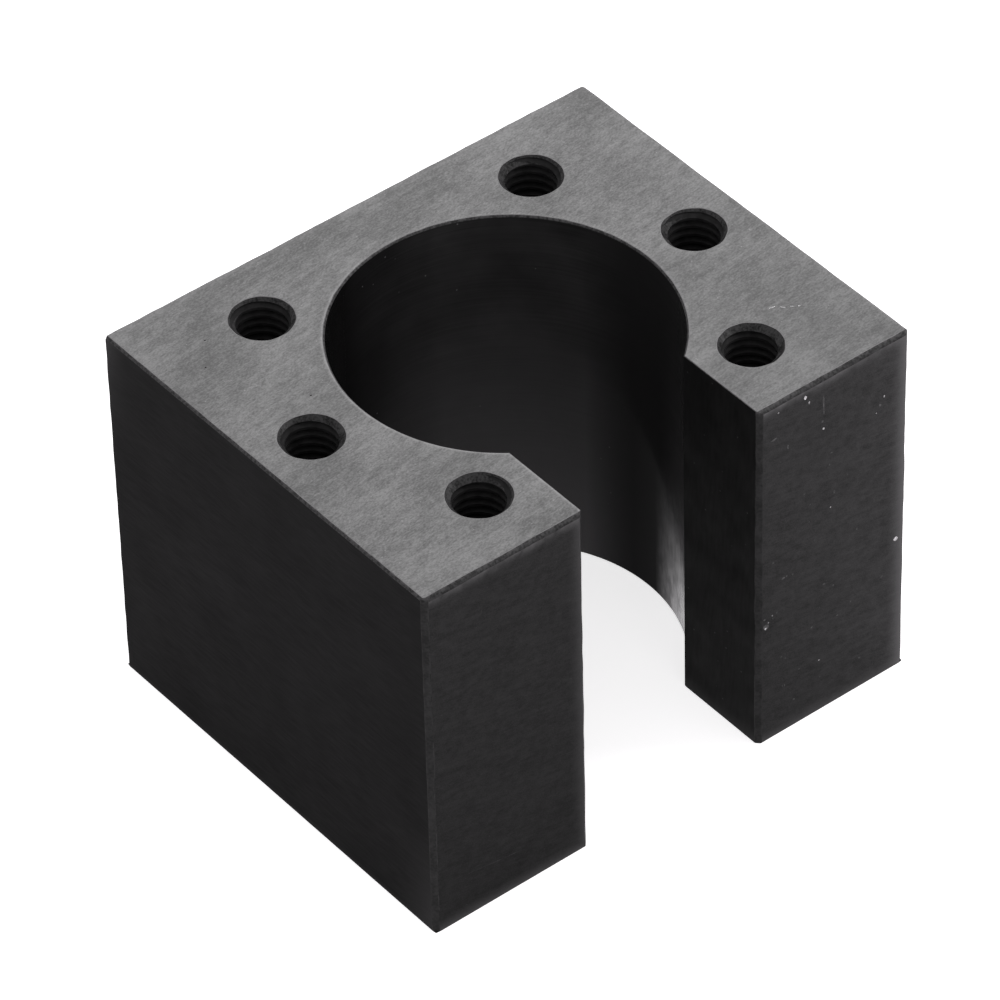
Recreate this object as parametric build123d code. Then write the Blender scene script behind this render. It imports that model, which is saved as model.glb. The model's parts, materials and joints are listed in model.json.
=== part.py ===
from build123d import *
import os
from math import cos, radians, sin, sqrt, tan

# Housing for a ball screw nut, in millimetres. The screw axis is Z, the nut's flange rests on the top
# face, the mouth opens towards -Y, and the origin is on the screw axis at the bottom face.

# The bore takes the nut's body, and the mouth opens it towards the front.
bore_diameter = 28.0
bore_chamfer = 0.15
mouth_width = 17.3

# The block stands this far out from the bore, which gives it the outline of the nut's flange.
side_wall = 10.0
end_wall = 6.0
block_height = 35.0

# The upright edges are broken more than those around the top and bottom faces.
upright_chamfer = 0.4
rim_chamfer = 0.15

# Tapped holes for the screws of the nut's flange: M5, three on each side of the bore.
flange_offset = 5.0
flange_step_angle = 45.0
flange_tap_drill = 4.2
flange_rim = 5.3
flange_depth = 15.0

# Tapped holes in the rear face for the carriage: M4, one near each corner.
mount_inset_x = 4.0
mount_inset_z = 5.5
mount_tap_drill = 3.3
mount_rim = 4.3
mount_depth = 10.0

drill_point_angle = 118.0
cut_margin = 1.0

bore_radius = bore_diameter / 2
block_width = bore_diameter + 2 * side_wall
block_depth = bore_diameter + 2 * end_wall
flange_circle_radius = bore_radius + flange_offset
mouth_half = mouth_width / 2
mouth_flare = mouth_half + upright_chamfer + cut_margin
rim_flare = mouth_half + rim_chamfer + cut_margin


def block():
    """The outer block with all twelve edges broken."""
    seat = (Align.CENTER, Align.CENTER, Align.MIN)
    body = Box(block_width, block_depth, block_height, align=seat)
    body = chamfer(body.edges().filter_by(Axis.Z), upright_chamfer)
    levels = body.edges().group_by(Axis.Z)
    return chamfer(levels[0] + levels[-1], rim_chamfer)


def bore():
    """What the boring bar takes out, with the broken rim at each end."""
    wide = bore_radius + bore_chamfer + cut_margin
    outline = Polyline(
        (0, -cut_margin),
        (wide, -cut_margin),
        (bore_radius, bore_chamfer),
        (bore_radius, block_height - bore_chamfer),
        (wide, block_height + cut_margin),
        (0, block_height + cut_margin),
        close=True,
    )
    return revolve(Plane.XZ * make_face(outline), Axis.Z)


def mouth():
    """The slot from the bore out through the front face, with its outside edges broken."""
    front = block_depth / 2
    outline = Polyline(
        (-mouth_half, 0),
        (mouth_half, 0),
        (mouth_half, upright_chamfer - front),
        (mouth_flare, -front - cut_margin),
        (-mouth_flare, -front - cut_margin),
        (-mouth_half, upright_chamfer - front),
        close=True,
    )
    slot = Pos(Z=-cut_margin) * extrude(make_face(outline), block_height + 2 * cut_margin)
    return slot + mouth_rim(0, 1) + mouth_rim(block_height, -1)


def mouth_rim(level, inward):
    """The broken edges of the slot in the bottom or top face. inward is +1 at the bottom, -1 at the top."""
    section = Polyline(
        (-mouth_half, level + inward * rim_chamfer),
        (mouth_half, level + inward * rim_chamfer),
        (rim_flare, level - inward * cut_margin),
        (-rim_flare, level - inward * cut_margin),
        close=True,
    )
    # It starts inside the bore, just short of where the sides of the slot leave it.
    start = sqrt(bore_radius**2 - (mouth_half + rim_chamfer) ** 2)
    length = block_depth / 2 + cut_margin - start
    return Pos(Y=-start) * extrude(make_face(Plane.XZ * section), length)


def tapped_hole(tap_drill, rim, depth):
    """A blind hole down from Z = 0, with a countersink and the point that the drill leaves."""
    radius = tap_drill / 2
    rim_radius = rim / 2
    tip = depth + radius / tan(radians(drill_point_angle / 2))
    outline = Polyline(
        (0, cut_margin),
        (rim_radius + cut_margin, cut_margin),
        (radius, radius - rim_radius),
        (radius, -depth),
        (0, -tip),
        close=True,
    )
    return revolve(Plane.XZ * make_face(outline), Axis.Z)


def flange_holes():
    """The tapped holes in the top face, on the circle of the nut's flange."""
    hole = tapped_hole(flange_tap_drill, flange_rim, flange_depth)
    holes = []
    for side in (-1, 1):
        for step in (-1, 0, 1):
            angle = radians(step * flange_step_angle)
            x = side * flange_circle_radius * cos(angle)
            y = flange_circle_radius * sin(angle)
            holes.append(Pos(x, y, block_height) * hole)
    return holes


def mount_holes():
    """The tapped holes in the rear face."""
    hole = tapped_hole(mount_tap_drill, mount_rim, mount_depth)
    holes = []
    for x in (mount_inset_x - block_width / 2, block_width / 2 - mount_inset_x):
        for z in (mount_inset_z, block_height - mount_inset_z):
            holes.append(Pos(x, block_depth / 2, z) * Rot(X=-90) * hole)
    return holes


def housing():
    """The whole part, one machined block."""
    return block() - [bore(), mouth(), *flange_holes(), *mount_holes()]


os.makedirs("parts", exist_ok=True)
export_step(housing(), "parts/housing.step")
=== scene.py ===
"""Looks of the ball screw nut housing: threads, worn edges, nicks and finishes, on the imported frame."""
import functools
import itertools
import json
import math
import random

import bmesh
import bpy
from mathutils import Matrix, Vector, noise

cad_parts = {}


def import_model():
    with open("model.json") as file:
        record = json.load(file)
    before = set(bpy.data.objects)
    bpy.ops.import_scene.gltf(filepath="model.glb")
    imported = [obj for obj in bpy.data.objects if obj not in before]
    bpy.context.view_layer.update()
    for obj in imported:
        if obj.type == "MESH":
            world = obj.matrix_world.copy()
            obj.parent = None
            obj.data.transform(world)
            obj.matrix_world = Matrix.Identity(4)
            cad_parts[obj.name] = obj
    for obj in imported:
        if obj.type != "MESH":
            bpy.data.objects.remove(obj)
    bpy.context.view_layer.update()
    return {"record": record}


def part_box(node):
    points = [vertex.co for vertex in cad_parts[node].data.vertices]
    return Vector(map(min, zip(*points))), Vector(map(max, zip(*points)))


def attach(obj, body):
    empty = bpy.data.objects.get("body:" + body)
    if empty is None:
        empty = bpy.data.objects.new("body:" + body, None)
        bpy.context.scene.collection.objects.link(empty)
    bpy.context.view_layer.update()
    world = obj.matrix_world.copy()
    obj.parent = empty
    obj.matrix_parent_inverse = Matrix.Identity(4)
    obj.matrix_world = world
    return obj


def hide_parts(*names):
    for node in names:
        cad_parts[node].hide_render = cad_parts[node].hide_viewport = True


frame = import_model()

# Sizes are in millimetres. What the frame and its record state is read from them.
METRES = 0.001
X, Y, Z = range(3)
low, high = (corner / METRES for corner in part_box("housing"))
mounts = {m["name"]: m["dims"] for m in frame["record"]["mounts"]}
block_size = high - low
bore_radius = mounts["bore"]["r_mm"]
bore_chamfer = (block_size.z - mounts["bore"]["length_mm"]) / 2
# The chamfers of the block: its upright edges, the four edges of the top face, the foot and the mouth.
upright_chamfer = 0.4
rear_chamfer = 0.45
right_chamfer = 0.3
front_chamfer = 0.3
left_chamfer = 0.2
foot_chamfer = 0.05
mouth_chamfer = 0.05
mouth_half = 8.65
mouth_start = -math.sqrt(bore_radius ** 2 - mouth_half ** 2)
cut_margin = 1.0

# A broken edge is worn on both its borders: how far onto the flat, and how deep on the chamfer.
line_wear = (0.04, 0.02)
# The edges were broken by hand, so their width wanders by up to this share of it.
wander_share = 0.15
wander_length = 1.7
wander_step = 0.6

# Tapped holes. Each hole is turned on from the last, in degrees, so that no two threads start alike.
drill_point_slope = math.tan(math.radians(118 / 2))
thread_slope = math.tan(math.radians(60 / 2))
thread_steps = 42
thread_turn = math.radians(1.7)
thread_overlap = 0.15
thread_root_share = 1 / 16
next_hole_turn = 2.4
rim_wander = 0.06
FLANGE_HOLE = {"rim": 2.65, "minor": mounts["flange_side_holes"]["hole_r_mm"], "major": 2.5, "pitch": 0.8,
               "threaded": 12.0, "depth": 15.0}
MOUNT_HOLE = {"rim": 2.15, "minor": mounts["mounting_holes"]["hole_r_mm"], "major": 2.0, "pitch": 0.7,
              "threaded": 8.0, "depth": 10.0}

# The flats in a full turn of a round surface.
bore_segments = 240
hole_segments = 96

# Nicks down to bare metal in the front of the right leg: x, z, width and height.
NICKS = (
    (13.3, 34.0, 0.36, 0.50),
    (13.7, 33.3, 0.20, 0.30),
    (10.6, 34.0, 0.16, 0.16),
    (15.2, 29.8, 0.26, 0.24),
    (21.4, 29.6, 0.16, 0.30),
    (20.6, 28.3, 0.14, 0.14),
    (16.0, 21.2, 0.16, 0.16),
    (22.9, 13.8, 0.50, 0.50),
    (9.4, 12.2, 0.28, 0.30),
    (10.1, 13.2, 0.16, 0.14),
    (9.7, 12.7, 0.14, 0.16),
    (15.0, 5.5, 0.12, 0.20),
)
# Shallow marks that only dull the black: x, z, width, height and lean in degrees.
MARKS = (
    (15.2, 32.2, 0.22, 2.20, 2),
    (15.1, 30.6, 0.30, 0.26, 0),
    (10.2, 31.5, 0.80, 0.20, 8),
    (11.6, 30.0, 0.20, 0.55, 5),
    (21.0, 28.9, 0.26, 0.40, 20),
    (16.4, 22.6, 0.30, 0.36, 0),
    (11.2, 16.5, 0.45, 0.22, 0),
    (9.5, 12.4, 0.70, 0.60, 0),
    (9.3, 13.2, 0.30, 0.20, 0),
    (18.8, 17.3, 0.20, 0.34, 0),
    (21.5, 10.6, 0.30, 0.20, 0),
    (12.4, 2.8, 0.24, 0.26, 0),
)
# A long shallow score in the front of the left leg, given like a mark.
SCORES = ((-18.35, 4.1, 8.0, 0.10, -8.5),)
# More marks, small and anywhere in this part of the right leg's front.
small_marks = 26
small_mark_x = (9.8, 19.5)
small_mark_z = (2.0, 27.0)
small_mark_size = (0.12, 0.28)
# Dents in the top face: x, y, width, height and turn in degrees.
PITS = (
    (-18.4, 14.2, 0.22, 0.12, 0),
    (-20.3, 11.6, 0.24, 0.13, 10),
    (-16.1, 3.8, 0.26, 0.15, -20),
)
SCRATCHES = (
    (17.5, -11.1, 0.75, 0.12, -12),
    (18.2, -11.6, 0.50, 0.14, -60),
    (18.8, -12.0, 0.40, 0.12, -40),
    (19.3, -12.3, 0.26, 0.16, 0),
    (-19.9, 9.2, 0.85, 0.07, -30),
    (-18.7, 7.4, 1.25, 0.07, -25),
)
nick_depth = 0.05
mark_depth = 0.02
pit_depth = 0.06
scratch_depth = 0.03

# The rings of a dent, from its open end in: size as a share of the dent's, height as a share of its depth.
DENT_RINGS = ((1.3, 0.9), (0.5, -0.7))
dent_corners = 8
dent_ragged = 0.3
nick_lean = 20

# Where a finish, or the light and shade painted into it, changes from place to place: spots and stretches
# along X or Y, and reaches from an edge.
# The painted shade on the top face: its middle and its reach.
shade_spot = (14, -14)
shade_reach = (16, 18)
# The painted highlight along the lips: its reach, and the X from where it fades.
lip_highlight_reach = 0.33
lip_highlight_fade = (-10, 4)
# How far up the painted reflection of the floor reaches at the foot of the sides.
foot_reflection_reach = 14
scraped_reach = (3, 3.5, 14)
# Painted light and shade in the bore: how far up it is lighter, and where its sides are darker.
bore_painted_light_reach = 36
bore_left_shade = (-6, 4)
bore_right_shade = (12.6, 13.9)
# Where the bore's painted reflection sits: stretches along X and Y, and its reach up from the foot.
reflection_patch_x = (10, 11)
reflection_patch_y = (-5.8, -1.0)
reflection_patch_reach = 17
rim_reach = 0.6

# The photograph's view, turned in degrees about X, Y and Z.
camera_lens = 264.42
camera_place = (-265.22, -339.52, 404.08)
camera_turn = (48.0908, 1.1563, -38.9270)
# The light. Lamps: name, azimuth and elevation in degrees, distance and size in metres, and power in watts.
LAMPS = (
    ("rear_light", 142, 42, 0.6, 0.2, 1.02),
    ("front_light", 60, 30, 0.22, 0.08, 0.15),
)
lamp_aim = (0, 0, 20)
world_strength = 0.75
floor_radius_metres = 3.0
floor_glow = 0.68

# The material slot of each finish in every mesh. A tool leaves its finish on what it cuts.
GROUND, MILLED, FRONT, SLOTTED, BORED, BROKEN, WORN, SCUFFED, SUNK, DRILLED, DULLED, BARE = range(12)


# Finishes

class Finish:
    """A material under construction, with patterns measured in millimetres."""

    def __init__(self, name, specular, metallic=0.0):
        self.material = bpy.data.materials.new(name)
        self.material.use_nodes = True
        self.tree = self.material.node_tree
        self.shader = self.tree.nodes["Principled BSDF"]
        self.shader.inputs["Specular IOR Level"].default_value = specular
        self.shader.inputs["Metallic"].default_value = metallic
        place = self.tree.nodes.new("ShaderNodeTexCoord").outputs["Object"]
        self.place = self.maths_vector("MULTIPLY", place, (1 / METRES,) * 3)

    def plug(self, source, socket):
        if isinstance(source, bpy.types.NodeSocket):
            self.tree.links.new(source, socket)
        else:
            socket.default_value = source

    def maths_vector(self, operation, a, b):
        node = self.tree.nodes.new("ShaderNodeVectorMath")
        node.operation = operation
        self.plug(a, node.inputs[0])
        self.plug(b, node.inputs[1])
        return node.outputs[0]

    def maths(self, operation, a, b=0.0):
        node = self.tree.nodes.new("ShaderNodeMath")
        node.operation = operation
        self.plug(a, node.inputs[0])
        self.plug(b, node.inputs[1])
        return node.outputs[0]

    def noise(self, size, stretch=(1, 1, 1), detail=2.0, turn=(0, 0, 0)):
        """Soft noise from 0 to 1 with features of this size, drawn out along an axis by stretch."""
        place = self.tree.nodes.new("ShaderNodeMapping")
        place.vector_type = "TEXTURE"
        place.inputs["Rotation"].default_value = [math.radians(t) for t in turn]
        place.inputs["Scale"].default_value = stretch
        self.plug(self.place, place.inputs["Vector"])
        node = self.tree.nodes.new("ShaderNodeTexNoise")
        node.inputs["Scale"].default_value = 1 / size
        node.inputs["Detail"].default_value = detail
        self.plug(place.outputs[0], node.inputs["Vector"])
        return node.outputs["Fac"]

    def specks(self, spacing, size, share):
        """Round specks: 1 at the middle of a speck and 0 outside. share is how many cells hold one."""
        node = self.tree.nodes.new("ShaderNodeTexVoronoi")
        node.inputs["Scale"].default_value = 1 / spacing
        self.plug(self.place, node.inputs["Vector"])
        spot = self.ramp(node.outputs["Distance"], 0, size / spacing, 1, 0)
        chosen = self.maths("LESS_THAN", self.red(node.outputs["Color"]), share)
        return self.times(spot, chosen)

    def red(self, colour):
        node = self.tree.nodes.new("ShaderNodeSeparateColor")
        self.plug(colour, node.inputs[0])
        return node.outputs[0]

    def ramp(self, value, low_in, high_in, low_out, high_out):
        node = self.tree.nodes.new("ShaderNodeMapRange")
        for socket, number in zip(node.inputs[1:5], (low_in, high_in, low_out, high_out)):
            socket.default_value = number
        self.plug(value, node.inputs[0])
        return node.outputs[0]

    def blend(self, *parts):
        """Adds patterns by weight. The sum varies about 0.5."""
        total = 0.5 - sum(weight for _, weight in parts) / 2
        for pattern, weight in parts:
            total = self.maths("ADD", self.times(pattern, weight), total)
        return total

    def shade(self, tone, low_in, high_in, dark, light):
        """A grey from dark to light as the tone goes from low_in to high_in."""
        return self.mix(self.ramp(tone, low_in, high_in, 0, 1), grey(dark), grey(light))

    def coordinate(self, axis):
        node = self.tree.nodes.new("ShaderNodeSeparateXYZ")
        self.plug(self.place, node.inputs[0])
        return node.outputs[axis]

    def near(self, axis, level, reach):
        """1 where a coordinate is at the level, falling away to 0 within reach."""
        away = self.maths("ABSOLUTE", self.maths("SUBTRACT", self.coordinate(axis), level))
        return self.maths("POWER", self.ramp(away, 0, reach, 1, 0), 2)

    def near_bore(self, reach):
        """1 at the outer edge of the bore's chamfer, falling away to 0 within reach."""
        squares = [self.times(self.coordinate(axis), self.coordinate(axis)) for axis in (X, Y)]
        radius = self.maths("SQRT", self.maths("ADD", *squares))
        away = self.maths("ABSOLUTE", self.maths("SUBTRACT", radius, bore_radius + bore_chamfer))
        return self.maths("POWER", self.ramp(away, 0, reach, 1, 0), 2)

    def near_mouth(self, reach):
        """1 at the mouth's two edges, in front of the bore, falling away to 0 within reach."""
        edge_x = mouth_half + mouth_chamfer
        sides = self.highest(self.near(X, -edge_x, reach), self.near(X, edge_x, reach))
        return self.times(sides, self.ramp(self.coordinate(Y), mouth_start, mouth_start + 0.1, 1, 0))

    def times(self, *values):
        return functools.reduce(lambda a, b: self.maths("MULTIPLY", a, b), values)

    def highest(self, *values):
        return functools.reduce(lambda a, b: self.maths("MAXIMUM", a, b), values)

    def mix(self, share, a, b):
        node = self.tree.nodes.new("ShaderNodeMix")
        node.data_type = "RGBA"
        self.plug(share, node.inputs["Factor"])
        self.plug(a, node.inputs[6])
        self.plug(b, node.inputs[7])
        return node.outputs[2]

    def colour(self, source):
        self.plug(source, self.shader.inputs["Base Color"])

    def roughness(self, source):
        self.plug(source, self.shader.inputs["Roughness"])

    def bump(self, height, depth):
        """Raises the surface by height times depth."""
        node = self.tree.nodes.new("ShaderNodeBump")
        node.inputs["Distance"].default_value = depth * METRES
        self.plug(height, node.inputs["Height"])
        self.plug(node.outputs[0], self.shader.inputs["Normal"])


def grey(level):
    return (level, level * 0.97, level, 1)


def ground():
    """Top and underside, ground flat: the black is half worn off, mottled, with faint streaks along X."""
    made = Finish("ground", 0.5)
    cloud = made.noise(7.0, detail=1)
    mottle = made.noise(0.8, (1.8, 1, 1), 4, (0, 0, 14))
    streaks = made.noise(0.28, (9, 1, 1), 3, (0, 0, 3))
    grain = made.noise(0.12, (1.8, 1, 1), 1, (0, 0, 8))
    tone = made.blend((cloud, 0.7), (mottle, 0.7), (streaks, 0.6), (grain, 1.0))
    colour = made.shade(tone, 0.15, 0.85, 0.035, 0.100)
    # Painted shade: darker towards the front right. Rubbed light along the outer edges.
    top_shade = made.times(*(made.near(axis, shade_spot[axis], shade_reach[axis]) for axis in (X, Y)), 0.45)
    colour = made.mix(top_shade, colour, grey(0.030))
    rear_rim, right_rim = made.near(Y, high.y, 1.8), made.near(X, high.x, 0.7)
    front_rim, left_rim = made.near(Y, low.y, 0.4), made.near(X, low.x, 0.4)
    rims = made.highest(right_rim, rear_rim, left_rim, front_rim)
    colour = made.mix(made.times(rims, 0.5), colour, grey(0.17))
    # An uneven bright line along the lips of the bore and the mouth, strongest on the left: partly wear,
    # partly painted highlight.
    lip_highlight = made.highest(made.near_bore(lip_highlight_reach), made.near_mouth(lip_highlight_reach))
    fade = made.ramp(made.coordinate(X), *lip_highlight_fade, 0.9, 0.25)
    uneven = made.ramp(made.noise(0.6, detail=2), 0.35, 0.6, 0.55, 1)
    colour = made.mix(made.times(lip_highlight, fade, uneven), colour, grey(0.30))
    colour = made.mix(made.specks(0.9, 0.14, 0.4), colour, grey(0.020))
    colour = made.mix(made.specks(0.6, 0.08, 0.3), colour, grey(0.20))
    made.colour(colour)
    made.roughness(made.ramp(tone, 0.2, 0.8, 0.50, 0.40))
    made.bump(grain, 0.006)
    return made.material


def milled():
    """The sides and the rear, with a faint milled grain under the black."""
    made = Finish("milled", 0.01)
    grain = made.noise(0.2, (9, 9, 1), 2)
    cloud = made.noise(5.0, detail=2)
    tone = made.blend((grain, 0.6), (cloud, 0.4))
    colour = made.shade(tone, 0.25, 0.75, 0.0100, 0.0155)
    # Painted reflection of the floor: lighter at the foot by the front, and in a thin band along the foot.
    # Scraped at the top of the left rear edge.
    foot = made.times(made.near(Y, low.y, 6), made.near(Z, low.z, foot_reflection_reach))
    colour = made.mix(foot, colour, grey(0.045))
    edges = made.times(made.near(Y, high.y, scraped_reach[Y]), made.near(Z, high.z, scraped_reach[Z]))
    scraped = made.times(edges, made.near(X, low.x, scraped_reach[X]))
    colour = made.mix(scraped, colour, grey(0.055))
    made.colour(made.mix(made.near(Z, low.z, 0.8), colour, grey(0.030)))
    made.roughness(made.ramp(tone, 0.3, 0.7, 0.62, 0.52))
    made.bump(grain, 0.002)
    return made.material


def front():
    """The front faces of the legs: fly-cut, so fine streaks run across them at a slight slope."""
    made = Finish("front", 0.05)
    streaks = made.noise(0.24, (8, 1, 1), 3, (0, 10, 0))
    mottle = made.noise(0.6, (1.3, 1, 1), 4, (0, 10, 0))
    fine = made.noise(0.09, (1.6, 1, 1), 1, (0, 10, 0))
    cloud = made.noise(4.0, detail=3)
    tone = made.blend((streaks, 0.45), (mottle, 0.65), (fine, 0.8), (cloud, 0.2))
    colour = made.shade(tone, 0.2, 0.8, 0.005, 0.0145)
    # A lighter copy of the same finish, used for the painted light.
    light = made.shade(tone, 0.2, 0.8, 0.022, 0.058)
    # Painted light: lighter upwards and to the right, with painted highlights at the left leg's mouth edge and
    # at the right edge, and a painted reflection of the floor along the foot. Rubbed in patches along the top.
    colour = made.mix(made.ramp(made.coordinate(Z), low.z, high.z, 0, 0.2), colour, light)
    colour = made.mix(made.ramp(made.coordinate(X), 0, high.x, 0, 0.5), colour, light)
    rims = made.highest(made.near(X, -mouth_half, 1.8), made.near(Z, low.z, 1.5))
    colour = made.mix(made.times(rims, 0.8), colour, grey(0.080))
    colour = made.mix(made.near(X, high.x, 2.2), colour, grey(0.140))
    patches = made.ramp(made.noise(1.1, detail=4), 0.3, 0.65, 0.2, 1)
    band = made.times(made.near(Z, high.z - front_chamfer, 1.1), patches)
    colour = made.mix(band, colour, grey(0.110))
    made.colour(made.mix(made.specks(0.6, 0.06, 0.2), colour, grey(0.05)))
    made.roughness(made.ramp(tone, 0.3, 0.7, 0.58, 0.50))
    made.bump(streaks, 0.003)
    return made.material


def slotted():
    """The walls of the mouth: darkest of all, with upright cutter marks and a few light specks."""
    made = Finish("slotted", 0.025)
    marks = made.noise(0.3, (1, 1, 7), 3, (4, 0, 0))
    cloud = made.noise(3.0, detail=3)
    tone = made.blend((marks, 0.5), (cloud, 0.7))
    colour = made.shade(tone, 0.25, 0.75, 0.0030, 0.0080)
    # Painted reflection of the floor: lighter near the foot.
    colour = made.mix(made.near(Z, low.z, 1.8), colour, grey(0.045))
    made.colour(made.mix(made.specks(1.4, 0.10, 0.35), colour, grey(0.060)))
    made.roughness(made.ramp(tone, 0.3, 0.7, 0.58, 0.46))
    made.bump(marks, 0.003)
    return made.material


def bored():
    """The bore wall: fine rings from the boring bar, glossier than the outside."""
    made = Finish("bored", 0.006)
    rings = made.noise(0.14, (60, 60, 1), 2)
    cloud = made.noise(5.0, detail=3)
    tone = made.blend((rings, 0.5), (cloud, 0.9))
    colour = made.shade(tone, 0.25, 0.75, 0.0120, 0.0270)
    # Painted light and shade: lighter towards the foot and darker at its two sides.
    colour = made.mix(made.near(Z, low.z, bore_painted_light_reach), colour, grey(0.150))
    colour = made.mix(made.ramp(made.coordinate(X), *bore_left_shade, 0.88, 0), colour, grey(0.003))
    colour = made.mix(made.ramp(made.coordinate(X), *bore_right_shade, 0, 0.85), colour, grey(0.013))
    colour = made.mix(made.specks(1.3, 0.09, 0.35), colour, grey(0.14))
    # Painted reflection: lighter and metallic low down beside the mouth's right wall, where a bright
    # reflection shows.
    across = made.ramp(made.coordinate(Y), *reflection_patch_y, 1, 0)
    before = made.ramp(made.coordinate(X), *reflection_patch_x, 0, 1)
    patches = made.ramp(made.noise(0.5, (1, 1, 3), 4), 0.35, 0.65, 0.65, 1.15)
    reflection_patch = made.times(across, made.near(Z, low.z, reflection_patch_reach), before, patches)
    made.colour(made.mix(made.ramp(reflection_patch, 0, 0.5, 0, 1), colour, grey(0.38)))
    made.plug(reflection_patch, made.shader.inputs["Metallic"])
    smear = made.times(reflection_patch, 0.12)
    made.roughness(made.maths("ADD", made.ramp(tone, 0.3, 0.7, 0.20, 0.12), smear))
    made.bump(rings, 0.001)
    return made.material


def edge(name, dark, light, spot, roughness, specular, rim):
    """A hand-broken edge: from dark to light in patches this large, and rubbed to rim by the top face."""
    made = Finish(name, specular)
    patches = made.noise(spot, detail=3)
    scuffs = made.noise(spot / 5, detail=2)
    tone = made.blend((patches, 1.0), (scuffs, 0.8))
    colour = made.shade(tone, 0.3, 0.7, dark, light)
    rubbed = made.times(made.near(Z, high.z, rim_reach), made.ramp(scuffs, 0.4, 0.6, 0.3, 1))
    made.colour(made.mix(rubbed, colour, grey(rim)))
    made.roughness(made.ramp(tone, 0.3, 0.7, roughness, roughness - 0.1))
    made.bump(scuffs, 0.004)
    return made.material


def drilled():
    """The threads and the holes below them, oily and dark, with fine marks around the axis."""
    made = Finish("drilled", 0.04)
    marks = made.noise(0.09, (5, 5, 1), 2)
    cloud = made.noise(0.8, detail=2)
    tone = made.blend((marks, 0.6), (cloud, 1.0))
    made.colour(made.shade(tone, 0.25, 0.75, 0.012, 0.024))
    made.roughness(made.ramp(tone, 0.3, 0.7, 0.42, 0.30))
    made.bump(marks, 0.002)
    return made.material


def bare():
    """Bright steel where a nick goes through the black."""
    made = Finish("bare", 0.5, metallic=0.4)
    grain = made.noise(0.08, detail=2)
    made.colour(made.shade(grain, 0.3, 0.7, 0.25, 0.60))
    made.roughness(made.ramp(grain, 0.3, 0.7, 0.45, 0.30))
    made.bump(grain, 0.005)
    return made.material


FINISHES = (
    ground(), milled(), front(), slotted(), bored(),
    edge("broken", 0.008, 0.022, 1.2, 0.55, 0.1, 0.090),
    edge("worn", 0.110, 0.260, 2.0, 0.45, 0.2, 0.180),
    edge("scuffed", 0.004, 0.030, 1.6, 0.50, 0.1, 0.060),
    edge("sunk", 0.004, 0.050, 0.9, 0.50, 0.1, 0.040),
    drilled(),
    edge("dulled", 0.015, 0.075, 0.4, 0.50, 0.1, 0.075),
    bare(),
)


# Meshes

def wander(width, along, seed):
    """How far the two borders of an edge stray from their nominal lines."""
    return [wander_share * width * noise.noise(Vector((along / wander_length, seed, i))) for i in (0.5, 3.5)]


# Wear on one border of a broken edge: its reach, its depth and its finish.
PLAIN_WEAR = (*line_wear, BROKEN)
LIGHT_WEAR = (*line_wear, WORN)
PATCHY_WEAR = (*line_wear, SCUFFED)


def broken_edge(width, first, second, strays=(0, 0)):
    """The section of a broken edge between two walls: (depth below the first, inset from the second)."""
    start, end = (width + stray for stray in strays)
    borders = [(0, start + first[0]), (first[1], start - first[1])]
    return borders + [(end - second[1], second[1]), (end + second[0], 0)]


def edge_finish(first, second):
    return first[2], BROKEN, second[2]


def edge_chamfer(face, other):
    """The size of the chamfer between two faces of the block. A face is (axis, sign)."""
    if Z not in (face[0], other[0]):
        return upright_chamfer
    side, flat = (face, other) if other[0] == Z else (other, face)
    if flat[1] < 0:
        return foot_chamfer
    return {(X, -1): left_chamfer, (X, 1): right_chamfer, (Y, -1): front_chamfer, (Y, 1): rear_chamfer}[side]


def block_wear(face, other):
    """The wear on a face of the block beside its edge with another."""
    if face[0] == Z:
        return LIGHT_WEAR
    return PATCHY_WEAR if (face[0], other) == (Y, (X, -1)) else PLAIN_WEAR


def add_ring_faces(bm, rings, finishes, closed=True):
    """Joins each ring of vertices to the next. A ring of one vertex is a point."""
    for ring, after, finish in zip(rings, rings[1:], finishes):
        count = max(len(ring), len(after))
        for k in range(count if closed else count - 1):
            n = (k + 1) % count
            corners = []
            for v in (ring[k % len(ring)], after[k % len(after)], after[n % len(after)], ring[n % len(ring)]):
                if v not in corners:
                    corners.append(v)
            bm.faces.new(corners).material_index = finish


def add_turned(bm, place, outline, finishes, segments, wandering=(), amount=0.0):
    """A solid of revolution about Z. The outline starts and ends on the axis. wandering: its uneven points."""
    rings = []
    for i, (radius, z) in enumerate(outline):
        if radius == 0:
            rings.append([bm.verts.new(place @ Vector((0, 0, z)))])
            continue
        ring = []
        for k in range(segments):
            angle = 2 * math.pi * k / segments
            way = Vector((math.cos(angle), math.sin(angle), 0))
            stray = amount * noise.noise(place @ (way * radius)) if i in wandering else 0
            ring.append(bm.verts.new(place @ (way * (radius + stray) + Vector((0, 0, z)))))
        rings.append(ring)
    add_ring_faces(bm, rings, finishes)


def add_lofted(bm, sections, finishes):
    """A solid through matching sections. finishes has one entry for each side of the section."""
    rings = [[bm.verts.new(p) for p in section] for section in sections]
    count = len(rings[0])
    for ring, after in zip(rings, rings[1:]):
        for k in range(count):
            n = (k + 1) % count
            bm.faces.new((ring[k], ring[n], after[n], after[k])).material_index = finishes[k]
    for end in (rings[0], rings[-1]):
        bm.faces.new(end).material_index = finishes[0]


def new_object(name, bm):
    """A mesh object in millimetres that has every finish as a slot."""
    bmesh.ops.recalc_face_normals(bm, faces=bm.faces)
    mesh = bpy.data.meshes.new(name)
    bm.to_mesh(mesh)
    bm.free()
    for finish in FINISHES:
        mesh.materials.append(finish)
    piece = bpy.data.objects.new(name, mesh)
    bpy.context.scene.collection.objects.link(piece)
    return piece


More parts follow.
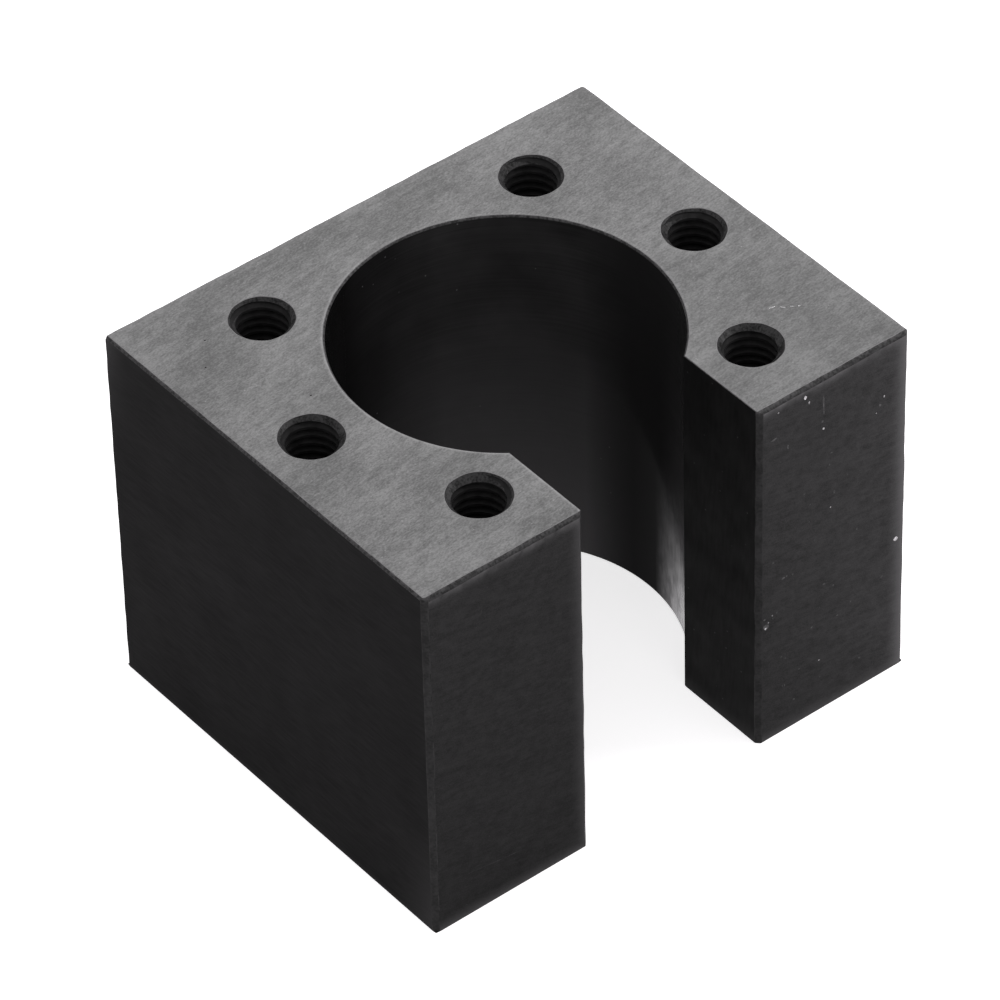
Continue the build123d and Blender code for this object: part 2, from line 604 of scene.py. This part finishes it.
def cut(body, tool):
    """Takes the tool's solids out of the body. What is cut gets the finish of the tool's face."""
    cutter = new_object("cutter", tool)
    change = body.modifiers.new("cut", "BOOLEAN")
    change.operation = "DIFFERENCE"
    change.solver = "EXACT"
    change.material_mode = "INDEX"
    change.object = cutter
    graph = bpy.context.evaluated_depsgraph_get()
    graph.update()
    done = bpy.data.meshes.new_from_object(body.evaluated_get(graph))
    body.modifiers.clear()
    body.data = done
    bpy.data.objects.remove(cutter)


def block_corners(bm, half, middle):
    """The corners of the flat part of each face, by axis and octant."""
    corners = {}
    for signs in itertools.product((-1, 1), repeat=3):
        for flat in range(3):
            spot = Vector([signs[i] * half[i] for i in range(3)])
            for i in range(3):
                if i != flat:
                    spot[i] -= signs[i] * (edge_chamfer((flat, signs[flat]), (i, signs[i])) + line_wear[0])
            corners[flat, signs] = bm.verts.new(middle + spot)
    return corners


def edge_end(faces, end):
    """How far the chamfer between two faces stops short of the face at its end."""
    return max(edge_chamfer(face, end) for face in faces) + line_wear[0]


def block_edge(bm, half, middle, corners, along, pair):
    """The four lines of vertices along one broken edge, from its border on one face to that on the other."""
    flat, other = [i for i in range(3) if i != along]
    faces = ((flat, pair[0]), (other, pair[1]))
    wears = (block_wear(*faces), block_wear(*faces[::-1]))
    width = edge_chamfer(*faces)
    start = edge_end(faces, (along, -1)) - half[along]
    reach = half[along] - edge_end(faces, (along, 1)) - start
    count = round(reach / wander_step)
    seed = 7 * along + 3 * pair[0] + pair[1]
    signs = [0, 0, 0]
    signs[flat], signs[other] = pair
    lines = [[] for _ in range(4)]
    for k in range(count + 1):
        place = start + reach * k / count
        at_end = k in (0, count)
        signs[along] = -1 if k == 0 else 1
        strays = (0, 0) if at_end else wander(width, place, seed)
        for i, (depth, inset) in enumerate(broken_edge(width, *wears, strays)):
            if at_end and i in (0, 3):
                lines[i].append(corners[flat if i == 0 else other, tuple(signs)])
                continue
            spot = Vector((0, 0, 0))
            spot[along] = place
            spot[flat] = pair[0] * (half[flat] - depth)
            spot[other] = pair[1] * (half[other] - inset)
            lines[i].append(bm.verts.new(middle + spot))
    add_ring_faces(bm, lines, edge_finish(*wears), closed=False)
    return lines


def add_fan(bm, loop, finish):
    """Closes a loop of vertices with triangles around its middle."""
    middle = bm.verts.new(sum((v.co for v in loop), Vector()) / len(loop))
    for v, after in zip(loop, loop[1:] + loop[:1]):
        bm.faces.new((v, after, middle)).material_index = finish


def block():
    """The block before the bore and holes: six flats, and between them edges broken by hand."""
    half = block_size / 2
    middle = (low + high) / 2
    bm = bmesh.new()
    corners = block_corners(bm, half, middle)
    borders = {}
    ends = {}
    for along in range(3):
        flat, other = [i for i in range(3) if i != along]
        for pair in itertools.product((-1, 1), repeat=2):
            lines = block_edge(bm, half, middle, corners, along, pair)
            borders[flat, pair[0], along, pair[1]] = lines[0]
            borders[other, pair[1], along, pair[0]] = lines[3]
            for end, sign in ((0, -1), (-1, 1)):
                signs = [sign, sign, sign]
                signs[flat], signs[other] = pair
                ends[flat, other, tuple(signs)] = [lines[1][end], lines[2][end]]
    finishes = {(Y, -1): FRONT, (Z, -1): GROUND, (Z, 1): GROUND}
    for flat, side in itertools.product(range(3), (-1, 1)):
        first, second = [i for i in range(3) if i != flat]
        loop = borders[flat, side, first, -1] + borders[flat, side, second, 1][1:]
        loop += borders[flat, side, first, 1][::-1][1:] + borders[flat, side, second, -1][::-1][1:-1]
        bm.faces.new(loop).material_index = finishes.get((flat, side), MILLED)
    for signs in itertools.product((-1, 1), repeat=3):
        loop = [corners[0, signs], *ends[0, 1, signs], corners[1, signs], *ends[1, 2, signs]]
        loop += [corners[2, signs], *ends[0, 2, signs][::-1]]
        add_fan(bm, loop, BROKEN)
    return new_object("housing_visual", bm)


def outwards(section):
    """A broken edge's section carried on past the surface it ends in, by the cutting margin."""
    (depth, inset), (last_depth, last_inset) = section[2:]
    slope = (last_depth - depth) / (inset - last_inset)
    return section + [(last_depth + slope * cut_margin, last_inset - cut_margin)]


def bore_tool():
    """The boring bar's path, with the broken rim at each end."""
    section = outwards(broken_edge(bore_chamfer, PLAIN_WEAR, LIGHT_WEAR))
    upper = [(bore_radius + depth, high.z - inset) for depth, inset in section]
    lower = [(bore_radius + depth, low.z + inset) for depth, inset in section]
    outline = [(0, upper[-1][1]), *upper[::-1], *lower, (0, lower[-1][1])]
    rim = (*edge_finish(PLAIN_WEAR, LIGHT_WEAR), WORN)
    finishes = (WORN, *rim[::-1], BORED, *rim, WORN)
    uneven = (1, 2, 3, 8, 9, 10)
    bm = bmesh.new()
    add_turned(bm, Matrix.Identity(4), outline, finishes, bore_segments, uneven, wander_share * bore_chamfer)
    return bm


def mouth_section(right, left, spot):
    """The mouth's two broken edges as one section, from the right edge inwards and out to the left one."""
    section = [spot(mouth_half + depth, inset) for depth, inset in outwards(right)]
    return section + [spot(-mouth_half - depth, inset) for depth, inset in outwards(left)[::-1]]


def mouth_finish(right, left):
    """The finishes between the points of a mouth section."""
    return (*edge_finish(*right), right[1][2], BROKEN, left[1][2], *edge_finish(*left)[::-1])


def mouth_slot():
    """The slot through the front face, with its broken upright edges."""
    right_wears = (PATCHY_WEAR, PLAIN_WEAR)
    left_wears = (PLAIN_WEAR, PLAIN_WEAR)
    sections = []
    height = block_size.z + 2 * cut_margin
    steps = round(height / wander_step)
    for k in range(steps + 1):
        z = low.z - cut_margin + height * k / steps
        right = broken_edge(upright_chamfer, *right_wears, wander(upright_chamfer, z, 31))
        left = broken_edge(upright_chamfer, *left_wears, wander(upright_chamfer, z, 33))
        section = mouth_section(right, left, lambda x, inset: Vector((x, low.y + inset, z)))
        sections.append(section + [Vector((-mouth_half, 0, z)), Vector((mouth_half, 0, z))])
    bm = bmesh.new()
    add_lofted(bm, sections, (*mouth_finish(right_wears, left_wears), SLOTTED, BORED, SLOTTED))
    return bm


def mouth_edge_tool(level, inward, seed):
    """What breaks the mouth's edges in the top or the bottom face."""
    wears = (PLAIN_WEAR, LIGHT_WEAR)
    start = -math.sqrt(bore_radius ** 2 - (mouth_half + 2 * mouth_chamfer + line_wear[0]) ** 2)
    reach = start - low.y + cut_margin
    steps = round(reach / wander_step)
    sections = []
    for k in range(steps + 1):
        y = start - reach * k / steps
        right = broken_edge(mouth_chamfer, *wears, wander(mouth_chamfer, y, seed))
        left = broken_edge(mouth_chamfer, *wears, wander(mouth_chamfer, y, seed + 1))
        sections.append(mouth_section(right, left, lambda x, inset: Vector((x, y, level + inward * inset))))
    bm = bmesh.new()
    add_lofted(bm, sections, (*mouth_finish(wears, wears), SLOTTED))
    return bm


def hole_places():
    """Where each tapped hole starts, its axis along Z, and what it is like."""
    corner = mounts["flange_corner_holes"]["spacing_x_mm"] / 2
    side = mounts["flange_side_holes"]["spacing_x_mm"] / 2
    spots = ((side, 0), (-side, 0), *itertools.product((-corner, corner), repeat=2))
    for k, (x, y) in enumerate(spots):
        yield Matrix.Translation((x, y, high.z)) @ Matrix.Rotation(k * next_hole_turn, 4, "Z"), FLANGE_HOLE
    span_x = mounts["mounting_holes"]["spacing_x_mm"] / 2
    span_z = mounts["mounting_holes"]["spacing_y_mm"] / 2
    for x, z in itertools.product((-span_x, span_x), (-span_z, span_z)):
        place = Matrix.Translation((x, high.y, (low.z + high.z) / 2 + z))
        yield place @ Matrix.Rotation(-math.pi / 2, 4, "X"), MOUNT_HOLE


def drill_tool():
    """All the holes as drilled and countersunk."""
    bm = bmesh.new()
    reach, depth, finish = LIGHT_WEAR
    for place, hole in hole_places():
        tip = hole["depth"] + hole["minor"] / drill_point_slope
        outline = [
            (0, cut_margin),
            (hole["rim"] + reach + 2 * cut_margin, cut_margin),
            (hole["rim"] + reach, 0),
            (hole["rim"] - depth, -depth),
            (hole["minor"], hole["minor"] - hole["rim"]),
            (hole["minor"], -hole["depth"]),
            (0, -tip),
        ]
        finishes = (finish, finish, finish, SUNK, DRILLED, DRILLED)
        add_turned(bm, place, outline, finishes, hole_segments, (1, 2, 3), rim_wander)
    return bm


def thread_tool():
    """The helical grooves that the taps cut, from above each hole's mouth down."""
    bm = bmesh.new()
    for place, hole in hole_places():
        root = hole["pitch"] * thread_root_share
        inner = hole["minor"] - thread_overlap
        foot = root + (hole["major"] - inner) * thread_slope
        start = hole["pitch"] / 2
        steps = round((start + hole["threaded"]) / hole["pitch"] * thread_steps)
        sections = []
        for k in range(steps + 1):
            z = start - hole["pitch"] * k / thread_steps
            turn = Matrix.Rotation(thread_turn - 2 * math.pi * k / thread_steps, 4, "Z")
            corners = ((inner, foot), (hole["major"], root), (hole["major"], -root), (inner, -foot))
            sections.append([place @ turn @ Vector((radius, 0, z + rise)) for radius, rise in corners])
        add_lofted(bm, sections, (DRILLED,) * 4)
    return bm


def add_nick(bm, place, width, height, lean, depth, finish, chance):
    """A small ragged dent in the XY plane of place. lean is in degrees."""
    turn = place @ Matrix.Rotation(math.radians(lean), 4, "Z")
    rings = [[bm.verts.new(turn @ Vector((0, 0, depth)))]]
    for size, rise in DENT_RINGS:
        ring = []
        for k in range(dent_corners):
            angle = 2 * math.pi * (k + 0.3) / dent_corners
            uneven = size / 2 * (1 + chance.uniform(-dent_ragged, dent_ragged))
            spot = Vector((width * uneven * math.cos(angle), height * uneven * math.sin(angle), rise * depth))
            ring.append(bm.verts.new(turn @ spot))
        rings.append(ring)
    rings.append([bm.verts.new(turn @ Vector((0, 0, -depth)))])
    add_ring_faces(bm, rings, (finish,) * 3)


def nick_tools():
    """The marks, nicks, pits and scratches, one tool for each group so that no solids of a tool overlap."""
    chance = random.Random(7)
    to_front = Matrix.Translation((0, low.y, 0)) @ Matrix.Rotation(math.pi / 2, 4, "X")
    to_top = Matrix.Translation((0, 0, high.z))
    ranges = (small_mark_x, small_mark_z, small_mark_size, small_mark_size)
    small = [(*(chance.uniform(*span) for span in ranges), 0) for _ in range(small_marks)]
    nicks = [(*nick, chance.uniform(-nick_lean, nick_lean)) for nick in NICKS]
    for marks, to_face, depth, finish in (
        (small, to_front, mark_depth, DULLED),
        (MARKS, to_front, mark_depth, DULLED),
        (SCORES, to_front, mark_depth, BROKEN),
        (nicks, to_front, nick_depth, BARE),
        (PITS, to_top, pit_depth, DRILLED),
        (SCRATCHES, to_top, scratch_depth, BARE),
    ):
        bm = bmesh.new()
        for x, other, width, height, lean in marks:
            place = to_face @ Matrix.Translation((x, other, 0))
            add_nick(bm, place, width, height, lean, depth, finish, chance)
        yield bm


def smooth(piece):
    """Into metres, with curved surfaces shaded smooth and edges sharp."""
    piece.data.transform(Matrix.Scale(METRES, 4))
    piece.data.shade_smooth()
    piece.data.set_sharp_from_angle(angle=math.radians(12))


def housing():
    """The block with everything cut into it."""
    body = block()
    cut(body, bore_tool())
    cut(body, mouth_slot())
    cut(body, mouth_edge_tool(high.z, -1, 41))
    cut(body, mouth_edge_tool(low.z, 1, 51))
    cut(body, drill_tool())
    cut(body, thread_tool())
    for tool in nick_tools():
        cut(body, tool)
    smooth(body)
    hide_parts("housing")
    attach(body, "root")
    return body


# Setting

def floor():
    """A pale floor that keeps the housing's shadow and looks white to the camera and in reflections."""
    bm = bmesh.new()
    bmesh.ops.create_circle(bm, cap_ends=True, radius=floor_radius_metres, segments=64)
    piece = new_object("floor", bm)
    piece.data.materials.clear()
    material = bpy.data.materials.new("floor")
    material.use_nodes = True
    tree = material.node_tree
    shader = tree.nodes["Principled BSDF"]
    shader.inputs["Base Color"].default_value = grey(0.9)
    shader.inputs["Roughness"].default_value = 0.9
    shader.inputs["Specular IOR Level"].default_value = 0.0
    shader.inputs["Emission Color"].default_value = (1, 1, 1, 1)
    tree.links.new(seen_directly(tree, floor_glow), shader.inputs["Emission Strength"])
    piece.data.materials.append(material)


def seen_directly(tree, strength):
    """strength for what the camera sees, directly or in a reflection, and 0 for light on the object."""
    path = tree.nodes.new("ShaderNodeLightPath")
    total = path.outputs["Is Camera Ray"]
    for name in ("Is Glossy Ray", "Is Transmission Ray"):
        node = tree.nodes.new("ShaderNodeMath")
        node.operation = "MAXIMUM"
        tree.links.new(total, node.inputs[0])
        tree.links.new(path.outputs[name], node.inputs[1])
        total = node.outputs[0]
    node = tree.nodes.new("ShaderNodeMath")
    node.operation = "MULTIPLY"
    tree.links.new(total, node.inputs[0])
    node.inputs[1].default_value = strength
    return node.outputs[0]


def softbox(name, azimuth, elevation, distance, size, power):
    """A square lamp that faces the housing. Azimuth 0 is on the -Y side and 90 on the +X side."""
    a, e = math.radians(azimuth), math.radians(elevation)
    way = Vector((math.sin(a) * math.cos(e), -math.cos(a) * math.cos(e), math.sin(e)))
    data = bpy.data.lights.new(name, "AREA")
    data.shape = "SQUARE"
    data.size = size
    data.energy = power
    lamp = bpy.data.objects.new(name, data)
    lamp.location = Vector(lamp_aim) * METRES + way * distance
    lamp.rotation_euler = way.to_track_quat("Z", "Y").to_euler()
    bpy.context.scene.collection.objects.link(lamp)


def world(strength):
    made = bpy.data.worlds.new("studio")
    made.use_nodes = True
    made.node_tree.nodes["Background"].inputs["Color"].default_value = (1, 1, 1, 1)
    made.node_tree.nodes["Background"].inputs["Strength"].default_value = strength
    bpy.context.scene.world = made


def camera():
    """The photograph's view."""
    data = bpy.data.cameras.new("camera")
    data.sensor_width = 36
    data.lens = camera_lens
    data.clip_start, data.clip_end = 0.05, 20
    piece = bpy.data.objects.new("camera", data)
    piece.location = Vector(camera_place) * METRES
    piece.rotation_euler = [math.radians(angle) for angle in camera_turn]
    bpy.context.scene.collection.objects.link(piece)
    bpy.context.scene.camera = piece


bpy.context.scene.view_settings.view_transform = "Standard"
camera()
world(world_strength)
for lamp in LAMPS:
    softbox(*lamp)
floor()
housing()
